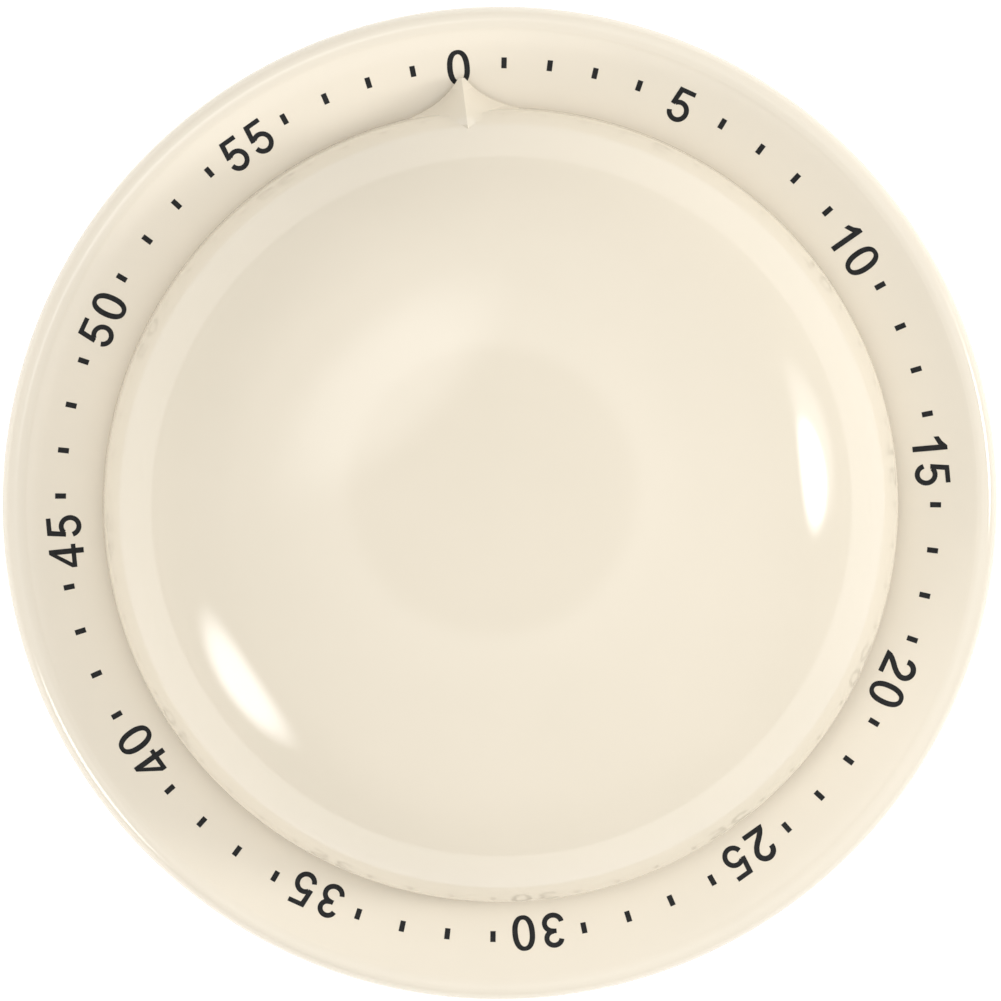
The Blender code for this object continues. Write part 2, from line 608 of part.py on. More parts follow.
def winding_arbor():
    """The arbor under the knob, with everything that turns with it."""
    steps = [(1.0, 12.3, 13.35), (MAIN_ARBOR_RADIUS, 13.35, MAIN_ARBOR_TOP_Z)]
    rod("main_arbor", steps, "steel", MAIN, segments=20)
    bore = MAIN_ARBOR_RADIUS + SHAFT_GAP
    wheel("great_wheel", GREAT_GEAR, 0.0, GREAT_Z, bore, (4.6, 12.2, 5, 14), MAIN)
    tube("clutch_collar", bore, 3.2, (13.45, 13.85), "steel")
    spring = [(bore, 15.1), (2.6, 15.1), (4.0, 15.35), (4.0, 15.6), (2.6, 15.35), (bore, 15.35)]
    lathe("clutch_spring", spring, "spring_steel", segments=24)
    beak = lever_beak()
    notch = math.degrees(math.atan2(beak[1], beak[0])) - STOP_CLEAR_ANGLE
    start, sweep = notch + CAM_NOTCH_HALF, 360 - 2 * CAM_NOTCH_HALF
    edge = [polar(CAM_RADIUS, start + sweep * i / 30) for i in range(31)]
    floor = [polar(CAM_NOTCH_RADIUS, notch - CAM_NOTCH_HALF), polar(CAM_NOTCH_RADIUS, notch + CAM_NOTCH_HALF)]
    prism("release_cam", edge + floor, [ring(bore, 16)], CAM_Z, "steel")
    turn = STOP_PIN_ANGLE - STOP_CLEAR_ANGLE
    far, half = STOP_CIRCLE + 0.45, STOP_TAB_WIDTH / 2
    hub = [polar(3.0, turn + 25 + 310 * i / 20) for i in range(21)]
    corners = ((8.6, -0.5), (9.4, -half), (far, -half), (far, half), (9.4, half), (8.6, 0.5))
    tip = [along_line(along, side, turn) for along, side in corners]
    prism("stop_tab", hub + tip, [ring(bore, 16)], STOP_Z, "steel")


def mainspring():
    """One coiled ribbon, clear of the arbor inside it and of the post outside."""
    inner, outer = MAINSPRING_RADII
    steps = round(MAINSPRING_TURNS * MAINSPRING_STEPS)
    end = SPRING_POST[1] - 4
    points, faces = [], []
    for i in range(steps + 1):
        radius = inner + (outer - inner) * i / steps
        angle = end - 360 * MAINSPRING_TURNS * (1 - i / steps)
        for r, z in ((0, 0), (1, 0), (1, 1), (0, 1)):
            points.append((*polar(radius + MAINSPRING_THICKNESS * r, angle), MAINSPRING_Z[z]))
    for i in range(steps):
        for j in range(4):
            k = (j + 1) % 4
            faces.append([4 * i + j, 4 * i + k, 4 * i + 4 + k, 4 * i + 4 + j])
    faces += [[0, 1, 2, 3], [4 * steps + j for j in range(4)]]
    solid("mainspring", points, faces, "spring_steel")


def train():
    """Second, third and escape arbors. Each pinion's teeth sit in the gaps of the wheel that drives it."""
    second_phase = meshing_phase(GREAT_GEAR, 0.0, SECOND_PINION, angle_between(MAIN, SECOND))
    joined(
        arbor("second_arbor", SECOND, 0.9),
        pinion(SECOND_PINION, second_phase, SECOND_PINION_Z, SECOND),
    )
    wheel("second_wheel", SECOND_GEAR, 0.0, SECOND_Z, 1.0, (3.2, 8.2, 4, 22), SECOND)
    tail = hammer_tail_tip()
    gap = angle_between(SECOND, tail)
    shares = (-0.3, -0.06, 0.06, 0.3)
    star = star_outline(STRIKE_TEETH, STRIKE_RADIUS, STRIKE_ROOT, shares, gap + 180 / STRIKE_TEETH)
    prism("strike_wheel", star, [ring(1.0, 12)], STRIKE_Z, "steel", SECOND)

    third_phase = meshing_phase(SECOND_GEAR, 0.0, THIRD_PINION, angle_between(SECOND, THIRD))
    joined(arbor("third_arbor", THIRD, 0.8), pinion(THIRD_PINION, third_phase, THIRD_PINION_Z, THIRD))
    wheel("third_wheel", THIRD_GEAR, 0.0, THIRD_Z, 0.9, (2.8, 6.6, 4, 24), THIRD)

    escape_phase = meshing_phase(THIRD_GEAR, 0.0, ESCAPE_PINION, angle_between(THIRD, ESCAPE))
    joined(
        arbor("escape_arbor", ESCAPE, 0.6),
        pinion(ESCAPE_PINION, escape_phase, ESCAPE_PINION_Z, ESCAPE),
    )
    first_pin = angle_between(ESCAPE, PALLET) - PALLET_HALF_SPAN
    tooth = first_pin - 0.23 * 360 / ESCAPE_TEETH
    outline = star_outline(ESCAPE_TEETH, ESCAPE_RADIUS, ESCAPE_ROOT, ESCAPE_TOOTH, tooth)
    holes = [ring(0.7, 12)] + windows(1.6, 3.3, 3, 40)
    prism("escape_wheel", outline, holes, ESCAPE_Z, "brass", ESCAPE)


def strip(points, width):
    """Outline around a line of points, with square ends half a width beyond them."""
    left, right = [], []
    for i, (x, y) in enumerate(points):
        before, after = points[max(i - 1, 0)], points[min(i + 1, len(points) - 1)]
        turn = math.atan2(after[1] - before[1], after[0] - before[0])
        ahead = width / 2 * ((i == len(points) - 1) - (i == 0))
        x, y = x + ahead * math.cos(turn), y + ahead * math.sin(turn)
        side = (-width / 2 * math.sin(turn), width / 2 * math.cos(turn))
        left.append((x + side[0], y + side[1]))
        right.append((x - side[0], y - side[1]))
    return left + right[::-1]


def flat_arm(name, points, width, bore, heights, finish, at):
    """Flat lever along a line of points from its hub at the origin."""
    item = prism(name, strip(points, width), [], heights, finish, at)
    joined(item, rod("hub", [(bore + 0.7, *heights)], at=at))
    return cut(item, rod("bore", [(bore, heights[0] - 1, heights[1] + 1)], at=at, segments=12))


def balance():
    """Pallet lever with two pins either side of the escape wheel, and the balance on the same arbor."""
    arbor("pallet_arbor", PALLET, 0.5)
    toward = angle_between(ESCAPE, PALLET)
    pins = []
    for side in (-1, 1):
        x, y = polar(PALLET_REACH, toward + side * PALLET_HALF_SPAN)
        pins.append((ESCAPE[0] + x - PALLET[0], ESCAPE[1] + y - PALLET[1]))
    line = [pins[0], (0, 0), pins[1]]
    lever = flat_arm("pallet_lever", line, 0.7, PIVOT_HOLE_RADIUS, PALLET_Z, "steel", PALLET)
    stalk = [(0.15, 20.6, PALLET_Z[1] - 0.2)]
    joined(lever, *[rod("pin", stalk, at=(PALLET[0] + x, PALLET[1] + y), segments=8) for x, y in pins])
    holes = [ring(0.58, 12)] + windows(1.7, 3.6, 3, 42)
    prism("balance_wheel", ring(4.8, 36), holes, BALANCE_Z, "brass", PALLET)


def hammer_tail_tip():
    """Where the tail just clears the strike wheel, on the side from which it swings in."""
    reach = STRIKE_RADIUS + HAMMER_TAIL_CLEAR
    across = math.hypot(SECOND[0] - HAMMER[0], SECOND[1] - HAMMER[1])
    turn = angle_between(HAMMER, SECOND) + math.degrees(math.asin(reach / across))
    x, y = polar(math.sqrt(across**2 - reach**2), turn)
    return HAMMER[0] + x, HAMMER[1] + y


def striker():
    """Hammer arbor with its tail at the strike wheel, its catch and the arm that carries the head."""
    steps = [(0.6, 9.3, 22.8), (0.45, 22.8, 23.8)]
    rod("hammer_arbor", steps, "steel", HAMMER, segments=12)
    head = (HAMMER_HEAD_POINT[0] - HAMMER[0], HAMMER_HEAD_POINT[1] - HAMMER[1])
    arm = flat_arm("hammer_arm", [(0, 0), head], 1.8, 0.7, HAMMER_Z, "spring_steel", HAMMER)
    cut(arm, rod("bore", [(0.55, HAMMER_Z[0] - 1, HAMMER_Z[1] + 1)], at=HAMMER_HEAD_POINT, segments=12))
    low, high = HAMMER_Z[0] - 0.1, HAMMER_Z[1] + 0.1
    spool = [(HAMMER_HEAD_RADIUS, 8.0, low), (0.45, low, high), (0.9, high, high + 0.4)]
    rod("hammer_head", spool, "brass", HAMMER_HEAD_POINT, segments=20)
    tip = hammer_tail_tip()
    tail = (tip[0] - HAMMER[0], tip[1] - HAMMER[1])
    length = math.hypot(*tail)
    turn = math.degrees(math.atan2(tail[1], tail[0]))
    inner, outer = HAMMER_BEAK_LENGTH, HAMMER_BEAK_LENGTH + 0.9
    corners = [(-0.6, inner), (-0.35, inner), (-0.2, 0), (0.2, 0), (0.35, inner), (0.6, inner), (0.6, outer)]
    outline = [along_line(length + along, side, turn) for along, side in corners]
    outline += [polar(1.6, turn + 60 + 240 * i / 10) for i in range(11)]
    prism("hammer_tail", outline, [ring(0.7, 12)], STRIKE_Z, "steel", HAMMER)
    turn = angle_between(HAMMER, LEVER_PIVOT)
    flat_arm("hammer_catch", [(0, 0), polar(2.4, turn)], 1.0, 0.7, CAM_Z, "steel", HAMMER)


def lever_beak():
    """Tip of the release lever's beak, on the tangent to the cam."""
    reach = CAM_RADIUS + LEVER_BEAK_CLEAR
    across = math.hypot(*LEVER_PIVOT)
    turn = angle_between(LEVER_PIVOT, MAIN) - math.degrees(math.asin(reach / across))
    x, y = polar(math.sqrt(across**2 - reach**2), turn)
    return LEVER_PIVOT[0] + x, LEVER_PIVOT[1] + y


def release_lever():
    """Follows the cam with its beak, and points its other arm at the hammer's catch."""
    beak = lever_beak()
    length = math.hypot(beak[0] - LEVER_PIVOT[0], beak[1] - LEVER_PIVOT[1])
    turn = angle_between(LEVER_PIVOT, beak)
    root, half = LEVER_BEAK_LENGTH, LEVER_WIDTH / 2
    corners = [(0, half), (0, -half), (length + 0.6, -root - LEVER_WIDTH), (length + 0.6, -root)]
    corners += [(length + 0.2, 0), (length - 0.2, 0), (length - 0.7, -root), (length - 6.0, -root)]
    finger = [along_line(along, side, turn) for along, side in corners]
    item = prism("release_lever", finger, [], CAM_Z, "steel", LEVER_PIVOT)
    arm = [(0, 0), polar(LEVER_ARM, angle_between(LEVER_PIVOT, HAMMER))]
    joined(item, prism("arm", strip(arm, 0.7 * LEVER_WIDTH), [], CAM_Z, at=LEVER_PIVOT))
    joined(item, rod("hub", [(1.4, *CAM_Z)], at=LEVER_PIVOT))
    cut(item, rod("bore", [(0.62, CAM_Z[0] - 1, CAM_Z[1] + 1)], at=LEVER_PIVOT, segments=12))


def bell():
    outer = [(1.15, 5.0), (16.0, 5.0), (20.0, 5.3), (22.3, 6.4), (23.2, 8.4), (23.3, 11.4)]
    inner = [(22.4, 11.4), (22.3, 8.7), (21.5, 7.1), (19.5, 6.1), (16.0, 5.8), (1.15, 5.8)]
    lathe("bell", outer + inner, "bell_metal", segments=36)
    post = [(0.0, 10.0), (1.05, 10.0), (1.05, 5.95), (1.9, 5.95)]
    post += [(1.9, 11.2), (3.4, 11.2), (3.4, 12.0), (0.0, 12.0)]
    lathe("bell_post", post, "steel", segments=20)
    screw("bell_screw", MAIN, *BELL_SCREW, slot=(3.0, 4.3))


def main():
    for item in list(bpy.data.objects):
        bpy.data.objects.remove(item)
    case()
    knob_shell()
    knob_hub()
    frame()
    winding_arbor()
    mainspring()
    train()
    balance()
    striker()
    release_lever()
    bell()


main()
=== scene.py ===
import json
import math

import bmesh
import bpy
from mathutils import Matrix, Vector


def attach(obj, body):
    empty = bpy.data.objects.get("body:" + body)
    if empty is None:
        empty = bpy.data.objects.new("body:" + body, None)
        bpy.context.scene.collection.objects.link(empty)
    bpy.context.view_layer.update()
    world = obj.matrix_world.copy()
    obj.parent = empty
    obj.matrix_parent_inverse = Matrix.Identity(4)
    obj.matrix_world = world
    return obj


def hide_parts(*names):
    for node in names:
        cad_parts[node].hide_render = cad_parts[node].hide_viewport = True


# Looks of the wind-up kitchen timer: moulded covers, domed knob, printed scale, foot, screws and bell.
#
# Shapes are written in millimetres and degrees, and become metres when a mesh is made. Zero on the dial is
# at +Y, and the scale runs clockwise seen from above.

MM = 0.001

# The body of the timer
OUTER_RADIUS = 40.0
TURNED_SEGMENTS, POST_SEGMENTS, SCREW_SEGMENTS = 288, 48, 64
SMOOTH_ANGLE = 32.0

# Dial and rim of the front cover; arcs are (slope in degrees where the arc ends, radius, steps)
DIAL_FLOOR_Z = 22.4
DIAL_START_RADIUS = 31.0
DIAL_END_RADIUS = 38.35
DIAL_ARC_RADIUS = 37.5
RIM_ARCS = ((13.0, 3.0, 8), (112.0, 1.29, 30))
SEAM_Z = 19.3
SEAM_GAP = 0.3
WALL = 1.6
DECK_TOP_Z, DECK_BOTTOM_Z = 27.6, 26.0
DECK_RADIUS, DECK_CHAMFER, DECK_BORE = 29.3, 2.0, 2.4
CAVITY_RADIUS = 28.1
CAVITY_TOP_Z, CAVITY_BOTTOM_Z, CAVITY_CHAMFER_RADIUS, CAVITY_STEP_RADIUS = 24.9, 20.8, 27.0, 31.0
SEAM_OUTER, LIP_OUTER, LIP_INNER, LIP_DEPTH, LIP_ROOT_Z = 39.6, 37.6, 36.4, 1.4, 21.0

# Posts that take the case screws and bosses that carry the movement; each shape is (radius, bottom z, top z)
POST_ANGLES = (30.0, 150.0, 270.0)
POST_CIRCLE = 29.0
POST_JOIN_Z = 13.8
FRONT_POST, FRONT_POST_BORE = (2.6, POST_JOIN_Z + 0.2, 21.6), (1.05, 12.8, 20.0)
BACK_POST, BACK_POST_BORE = (3.0, 2.4, POST_JOIN_Z), (1.15, 3.0, 14.8)
BOSS_ANGLES = (75.0, 180.0, 300.0)
BOSS_CIRCLE = 24.0
BOSS, BOSS_BORE = (2.2, 24.15, 26.6), (0.95, 23.0, 27.1)

# Knob, as arcs of its outside from the top down
KNOB_ARCS = ((19.8, 64.5, 20), (66.0, 16.9, 36), (86.0, 4.0, 16))
KNOB_SIDE = 1.9
KNOB_BOTTOM_Z = 22.8
KNOB_WALL = 1.8
KNOB_EDGE, KNOB_EDGE_FLARE = 0.25, 0.1
NIB_TIP, NIB_ROOT, NIB_END, NIB_LEAN = 34.5, 30.9, 30.5, 0.8
NIB_WIDTHS = (0.25, 2.16, 2.11)
NIB_PROUD = 0.35
NIB_BOTTOM_Z, NIB_EDGE = 22.95, 0.5
NIB_TIP_RISE, NIB_SINK = 0.1, 0.15
NIB_STEPS = 28

# Back cover and foot
BASE_RADIUS, BASE_Z, BASE_CORNER = 32.6, 1.0, 1.2
FLOOR_TOP_Z = 3.2
BACK_WALL, BACK_INSET, BACK_SWELL_POWER, FLOOR_CHAMFER = WALL + 0.05, 0.55, 1.8, 1.0
FOOT_INNER, FOOT_OUTER, FOOT_TOP_Z, FOOT_GAP, FOOT_EDGE = 19.0, 26.0, 1.6, 0.3, 0.35
SLOT_COUNT, SLOT_INNER, SLOT_OUTER, SLOT_WIDTH = 8, 7.5, 16.0, 1.8
CUT_PAST = 1.0

# Base screws, sunk in round recesses
RECESS_RADIUS, RECESS_TOP_Z = 2.25, 3.8
SCREW_HEAD_RADIUS, SCREW_HEAD_TOP_Z = 2.0, 3.6
SCREW_DOME_Z, SCREW_DOME_HEIGHT = 2.5, 0.9
SHANK_RADIUS, SHANK_TOP_Z, SHANK_CHAMFER = 0.9, 19.6, 0.4
DRIVER_SLOT_WIDTH, DRIVER_SLOT_PAST, DRIVER_SLOT_TOP_Z, DRIVER_SLOT_TURN = 0.5, 0.5, 2.3, 35.0

# Bell: a cup with a rounded corner, hung on its post
BELL_BORE, BELL_BOTTOM_Z, BELL_FLOOR_Z, BELL_EDGE_Z = 1.15, 5.0, 5.8, 11.4
BELL_OUTER, BELL_INNER = 23.3, 22.4
BELL_CORNER, BELL_CORNER_OUTER, BELL_CORNER_INNER = (18.8, 9.4), 4.4, 3.6

# Printed scale: distances from the centre of the dial
PRINT_OFFSET = (-0.14, 0.35)
NUMERAL_HEIGHT = 2.81
NUMERAL_BASE_RADIUS = 33.57
NUMERAL_ADVANCE = 2.38
TICK_INNER, TICK_OUTER, TICK_WIDTH = 34.77, 35.65, 0.43
INK_TOP, INK_BOTTOM = 0.012, -0.05
MINUTES, MINUTES_PER_NUMERAL = 60, 5

# Digits, as shares of their height: upright strokes, level bars and half the width of the zero
STROKE = 0.158
BAR = 0.135
DIGIT_HALF = 0.325

# Camera: nearly straight above the dial
CAMERA_TILT = 4.45
CAMERA_TILT_TOWARDS = Vector((-0.418, 0.909))
CAMERA_UP = Vector((0.092, 0.996, 0.0))
CAMERA_DISTANCE = 1500.0
CAMERA_TARGET = Vector((0.04, 0.28, 22.0))
LENS, SENSOR = 670.6, 36.0

# Light: a white tent with a darker opening overhead; levels are (sine of the elevation, brightness)
TENT_STRENGTH = 0.862
TENT_LEVELS = ((0.0, 0.52), (0.30, 0.55), (0.72, 0.92), (0.86, 1.25), (0.927, 1.6), (0.94, 0.8), (1.0, 0.75))
BRIGHTER_SIDE, BRIGHTER_BY = (0.423, 0.906, 0.0), 0.17

# Soft windows: heading from +X, elevation, half widths along and up in degrees, brightness
WINDOW_FADE = 0.6
WINDOWS = (
    ("key_window", -2.6, 25.5, 10.9, 10.0, 18.0),
    ("key_glow", 3.0, 21.0, 17.0, 13.0, 2.6),
    ("fill_window", 212.0, 24.0, 15.6, 14.2, 7.5),
    ("halo_window", 130.0, 67.8, 26.0, 10.5, 1.35),
)
FLOOR_GLOW = 0.3
FLOOR_REACH, FLOOR_DROP = 3.0, 0.0001


def polar(radius, angle):
    """Point at this distance from the centre, anticlockwise from +X."""
    turn = math.radians(angle)
    return radius * math.cos(turn), radius * math.sin(turn)


def turned(points, angle, at=(0.0, 0.0)):
    """Flat points turned anticlockwise about the origin, then moved to at."""
    made = []
    for x, y in points:
        new_x, new_y = polar(math.hypot(x, y), angle + math.degrees(math.atan2(y, x)))
        made.append((new_x + at[0], new_y + at[1]))
    return made


def arc(centre, radii, start, end, steps):
    """Points along an elliptical arc."""
    points = []
    for i in range(steps + 1):
        turn = math.radians(start + (end - start) * i / steps)
        points.append((centre[0] + radii[0] * math.cos(turn), centre[1] + radii[1] * math.sin(turn)))
    return points


def arcs_down(radius, z, arcs, inset=0.0):
    """(radius, z) outwards and down from a level start; each arc starts where the last one ended."""
    curve, slope = [(radius, z - inset)], 0.0
    for end, bend, steps in arcs:
        for i in range(1, steps + 1):
            here = math.radians(slope + (end - slope) * i / steps)
            r = radius + bend * (math.sin(here) - math.sin(math.radians(slope)))
            h = z - bend * (math.cos(math.radians(slope)) - math.cos(here))
            curve.append((r - inset * math.sin(here), h - inset * math.cos(here)))
        radius, z, slope = r, h, end
    return curve


def mesh_object(name, points, faces, material=None):
    """Closed mesh from millimetre points, smooth where its faces meet at a small angle."""
    mesh = bpy.data.meshes.new(name)
    mesh.from_pydata([[MM * c for c in point] for point in points], [], faces)
    shape = bmesh.new()
    shape.from_mesh(mesh)
    bmesh.ops.recalc_face_normals(shape, faces=shape.faces)
    shape.to_mesh(mesh)
    shape.free()
    item = bpy.data.objects.new(name, mesh)
    bpy.context.scene.collection.objects.link(item)
    if material:
        mesh.materials.append(material)
    shade(item)
    return item


def shade(item):
    """Smooth shading that keeps an edge wherever two faces meet at more than SMOOTH_ANGLE."""
    item.data.shade_smooth()
    item.data.set_sharp_from_angle(angle=math.radians(SMOOTH_ANGLE))


def lathe(name, profile, material=None, at=(0.0, 0.0), segments=TURNED_SEGMENTS):
    """Solid of revolution about the vertical through at; profile is a closed loop of (radius, z)."""
    points, rows = [], []
    for radius, z in profile:
        if radius == 0:
            rows.append([len(points)] * segments)
            points.append((at[0], at[1], z))
            continue
        rows.append(list(range(len(points), len(points) + segments)))
        for i in range(segments):
            x, y = polar(radius, 360 * i / segments)
            points.append((x + at[0], y + at[1], z))
    faces = []
    for row, following in zip(rows, rows[1:] + rows[:1]):
        for i in range(segments):
            j = (i + 1) % segments
            corners = list(dict.fromkeys((row[i], row[j], following[j], following[i])))
            if len(corners) > 2:
                faces.append(corners)
    return mesh_object(name, points, faces, material)


def prism(name, outline, low, high):
    """Upright prism on an outline, between two heights."""
    points = [(x, y, low) for x, y in outline] + [(x, y, high) for x, y in outline]
    count = len(outline)
    faces = [list(range(count)), list(range(count, 2 * count))]
    for i in range(count):
        j = (i + 1) % count
        faces.append([i, j, j + count, i + count])
    return mesh_object(name, points, faces)


def combine(item, others, operation):
    """Joins the other shapes to item or cuts them away, and removes them."""
    shape = bmesh.new()
    for other in others:
        shape.from_mesh(other.data)
        bpy.data.objects.remove(other)
    mesh = bpy.data.meshes.new("helper")
    shape.to_mesh(mesh)
    shape.free()
    helper = bpy.data.objects.new("helper", mesh)
    bpy.context.scene.collection.objects.link(helper)
    step = item.modifiers.new(operation, "BOOLEAN")
    step.operation = operation
    step.solver = "EXACT"
    step.object = helper
    bpy.context.view_layer.update()
    result = bpy.data.meshes.new_from_object(item.evaluated_get(bpy.context.evaluated_depsgraph_get()))
    item.modifiers.clear()
    item.data = result
    bpy.data.objects.remove(helper)
    shade(item)
    return item


def stands_for(piece, body, slot, *nodes):
    """Lets the piece move with a body, and hides the CAD nodes whose place it takes; slot is not used."""
    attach(piece, body)
    if nodes:
        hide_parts(*nodes)
    return piece


# Materials


def set_stops(ramp, stops):
    """Stops of a colour ramp as (position, (r, g, b))."""
    elements = ramp.color_ramp.elements
    while len(elements) < len(stops):
        elements.new(0.5)
    for element, (position, rgb) in zip(elements, stops):
        element.position = position
        element.color = (*rgb, 1.0)


class Surface:
    """A Principled material whose colour, roughness and bump come from its nodes."""

    def __init__(self, name, metallic=0.0, **sockets):
        self.material = bpy.data.materials.new(name)
        self.material.use_nodes = True
        self.tree = self.material.node_tree
        self.shader = self.tree.nodes["Principled BSDF"]
        self.shader.inputs["Metallic"].default_value = metallic
        for socket, value in sockets.items():
            self.shader.inputs[socket.replace("_", " ")].default_value = value
        self.place = self.tree.nodes.new("ShaderNodeTexCoord").outputs["Object"]

    def noise(self, scale, detail=3.0, roughness=0.55, stretch=(1.0, 1.0, 1.0)):
        """Noise on the object's own coordinates; scale is in features per metre."""
        mapping = self.tree.nodes.new("ShaderNodeMapping")
        mapping.inputs["Scale"].default_value = stretch
        self.tree.links.new(self.place, mapping.inputs["Vector"])
        node = self.tree.nodes.new("ShaderNodeTexNoise")
        node.inputs["Scale"].default_value = scale
        node.inputs["Detail"].default_value = detail
        node.inputs["Roughness"].default_value = roughness
        self.tree.links.new(mapping.outputs["Vector"], node.inputs["Vector"])
        return node.outputs["Fac"]

    def colour(self, factor, *stops):
        """Base colour from a ramp; stops are (position, (r, g, b))."""
        ramp = self.tree.nodes.new("ShaderNodeValToRGB")
        set_stops(ramp, stops)
        self.tree.links.new(factor, ramp.inputs["Fac"])
        self.tree.links.new(ramp.outputs["Color"], self.shader.inputs["Base Color"])

    def roughness(self, factor, low, high):
        """Roughness that wanders between low and high."""
        spread = self.tree.nodes.new("ShaderNodeMapRange")
        spread.inputs["From Min"].default_value = 0.3
        spread.inputs["From Max"].default_value = 0.7
        spread.inputs["To Min"].default_value = low
        spread.inputs["To Max"].default_value = high
        self.tree.links.new(factor, spread.inputs["Value"])
        self.tree.links.new(spread.outputs["Result"], self.shader.inputs["Roughness"])

    def bump(self, factor, height):
        """Bump of this height in metres."""
        bump = self.tree.nodes.new("ShaderNodeBump")
        bump.inputs["Distance"].default_value = height
        self.tree.links.new(factor, bump.inputs["Height"])
        self.tree.links.new(bump.outputs["Normal"], self.shader.inputs["Normal"])


def cream_plastic(name, low, high):
    """Glossy moulded plastic with a faint flow mottle and a very fine skin."""
    surface = Surface(name, IOR=1.62)
    surface.colour(surface.noise(60.0, 4.0), (0.3, low), (0.7, high))
    surface.roughness(surface.noise(900.0, 5.0, 0.7), 0.045, 0.085)
    surface.bump(surface.noise(700.0, 2.0), 0.000002)
    return surface.material


def ink():
    """Matt dark print with a slightly uneven coat."""
    surface = Surface("printed_ink", IOR=1.3)
    surface.colour(surface.noise(2500.0, 4.0), (0.3, (0.008, 0.009, 0.010)), (0.8, (0.022, 0.022, 0.022)))
    surface.roughness(surface.noise(3000.0), 0.45, 0.6)
    surface.bump(surface.noise(6000.0), 0.000002)
    return surface.material


def rubber():
    """Dull dark rubber with a coarse skin."""
    surface = Surface("foot_rubber", IOR=1.5)
    surface.colour(surface.noise(300.0, 5.0), (0.3, (0.028, 0.028, 0.029)), (0.75, (0.05, 0.05, 0.05)))
    surface.roughness(surface.noise(1500.0, 4.0), 0.6, 0.85)
    surface.bump(surface.noise(4000.0, 6.0, 0.7), 0.00003)
    return surface.material


def metal(name, low, high, rough, grain, stretch):
    """Metal with a grain: rough is (low, high), and grain is its features per metre."""
    surface = Surface(name, metallic=1.0)
    surface.colour(surface.noise(120.0, 5.0), (0.3, low), (0.75, high))
    surface.roughness(surface.noise(grain, 5.0, 0.7, stretch), *rough)
    surface.bump(surface.noise(grain, 4.0, 0.6, stretch), 0.000003)
    return surface.material


def materials():
    around = (1.0, 1.0, 6.0)
    return {
        "cream": cream_plastic("cream_plastic", (0.820, 0.741, 0.598), (0.846, 0.762, 0.619)),
        # The covers' cream is lighter than the knob's: partly their own tone, partly painted light that lifts
        # the shade the knob casts on the dial.
        "lightened_cream_cover": cream_plastic("lightened_cream_plastic_cover", (0.862, 0.787, 0.653), (0.889, 0.810, 0.673)),
        "ink": ink(),
        "rubber": rubber(),
        "brass": metal(
            "rolled_brass", (0.70, 0.50, 0.22), (0.83, 0.62, 0.30), (0.22, 0.38), 1500.0, (1, 12, 1)),
        "steel": metal(
            "turned_steel", (0.50, 0.50, 0.52), (0.66, 0.66, 0.68), (0.25, 0.42), 1800.0, around),
        "spring": metal(
            "blued_spring_steel", (0.10, 0.13, 0.22), (0.22, 0.26, 0.36), (0.2, 0.35), 2000.0, around),
        "bell": metal(
            "plated_bell", (0.70, 0.70, 0.71), (0.82, 0.82, 0.82), (0.10, 0.2), 1200.0, around),
    }


# Front cover with its dial


def dial_z(radius):
    """Height of the dial at this radius: it curves up to the rim from just under the edge of the knob."""
    rise = max(0.0, radius - DIAL_START_RADIUS)
    return DIAL_FLOOR_Z + rise**2 / (2 * DIAL_ARC_RADIUS)


def posts_and_bores(angles, circle, post, bore):
    """Round posts and the holes down them: post and bore are (radius, bottom z, top z)."""
    made = []
    for radius, low, high in (post, bore):
        profile = [(0.0, low), (radius, low), (radius, high), (0.0, high)]
        places = [polar(circle, angle) for angle in angles]
        made.append([lathe("part", profile, at=place, segments=POST_SEGMENTS) for place in places])
    return made


def front_cover(material):
    """Deck under the knob, dial, rolled rim and the lip that locates it in the back cover."""
    dial_steps = 28
    deck = [(DECK_BORE, DECK_BOTTOM_Z), (DECK_BORE, DECK_TOP_Z), (DECK_RADIUS - DECK_CHAMFER, DECK_TOP_Z)]
    deck += [(DECK_RADIUS, DECK_TOP_Z - DECK_CHAMFER), (DECK_RADIUS, DIAL_FLOOR_Z)]
    dial = []
    for i in range(dial_steps + 1):
        radius = DIAL_START_RADIUS + (DIAL_END_RADIUS - DIAL_START_RADIUS) * i / dial_steps
        dial.append((radius, dial_z(radius)))
    rim = arcs_down(DIAL_END_RADIUS, dial_z(DIAL_END_RADIUS), RIM_ARCS)
    seam = SEAM_Z + SEAM_GAP / 2
    lip = [(SEAM_OUTER, seam), (LIP_OUTER, seam), (LIP_OUTER, seam - LIP_DEPTH)]
    lip += [(LIP_INNER, seam - LIP_DEPTH), (LIP_INNER, LIP_ROOT_Z)]
    under = [(CAVITY_STEP_RADIUS, CAVITY_BOTTOM_Z), (CAVITY_RADIUS, CAVITY_BOTTOM_Z)]
    under += [(CAVITY_RADIUS, CAVITY_TOP_Z), (CAVITY_CHAMFER_RADIUS, DECK_BOTTOM_Z)]
    cover = lathe("front_cover", deck + dial + rim[1:] + lip + under, material)
    posts, bores = posts_and_bores(POST_ANGLES, POST_CIRCLE, FRONT_POST, FRONT_POST_BORE)
    bosses, holes = posts_and_bores(BOSS_ANGLES, BOSS_CIRCLE, BOSS, BOSS_BORE)
    combine(cover, posts + bosses, "UNION")
    combine(cover, bores + holes, "DIFFERENCE")
    return stands_for(cover, "case", "cream_gloss", "front_shell")


# Knob


def knob_height():
    """Height of the top of the dome above the bottom of the knob."""
    height, slope = KNOB_SIDE, 0.0
    for end, radius, _ in KNOB_ARCS:
        height += radius * (math.cos(math.radians(slope)) - math.cos(math.radians(end)))
        slope = end
    return height


def knob_curve(inset):
    """(radius, z) along the dome from its top down, this far inside its outer surface."""
    return arcs_down(0.0, KNOB_BOTTOM_Z + knob_height(), KNOB_ARCS, inset)


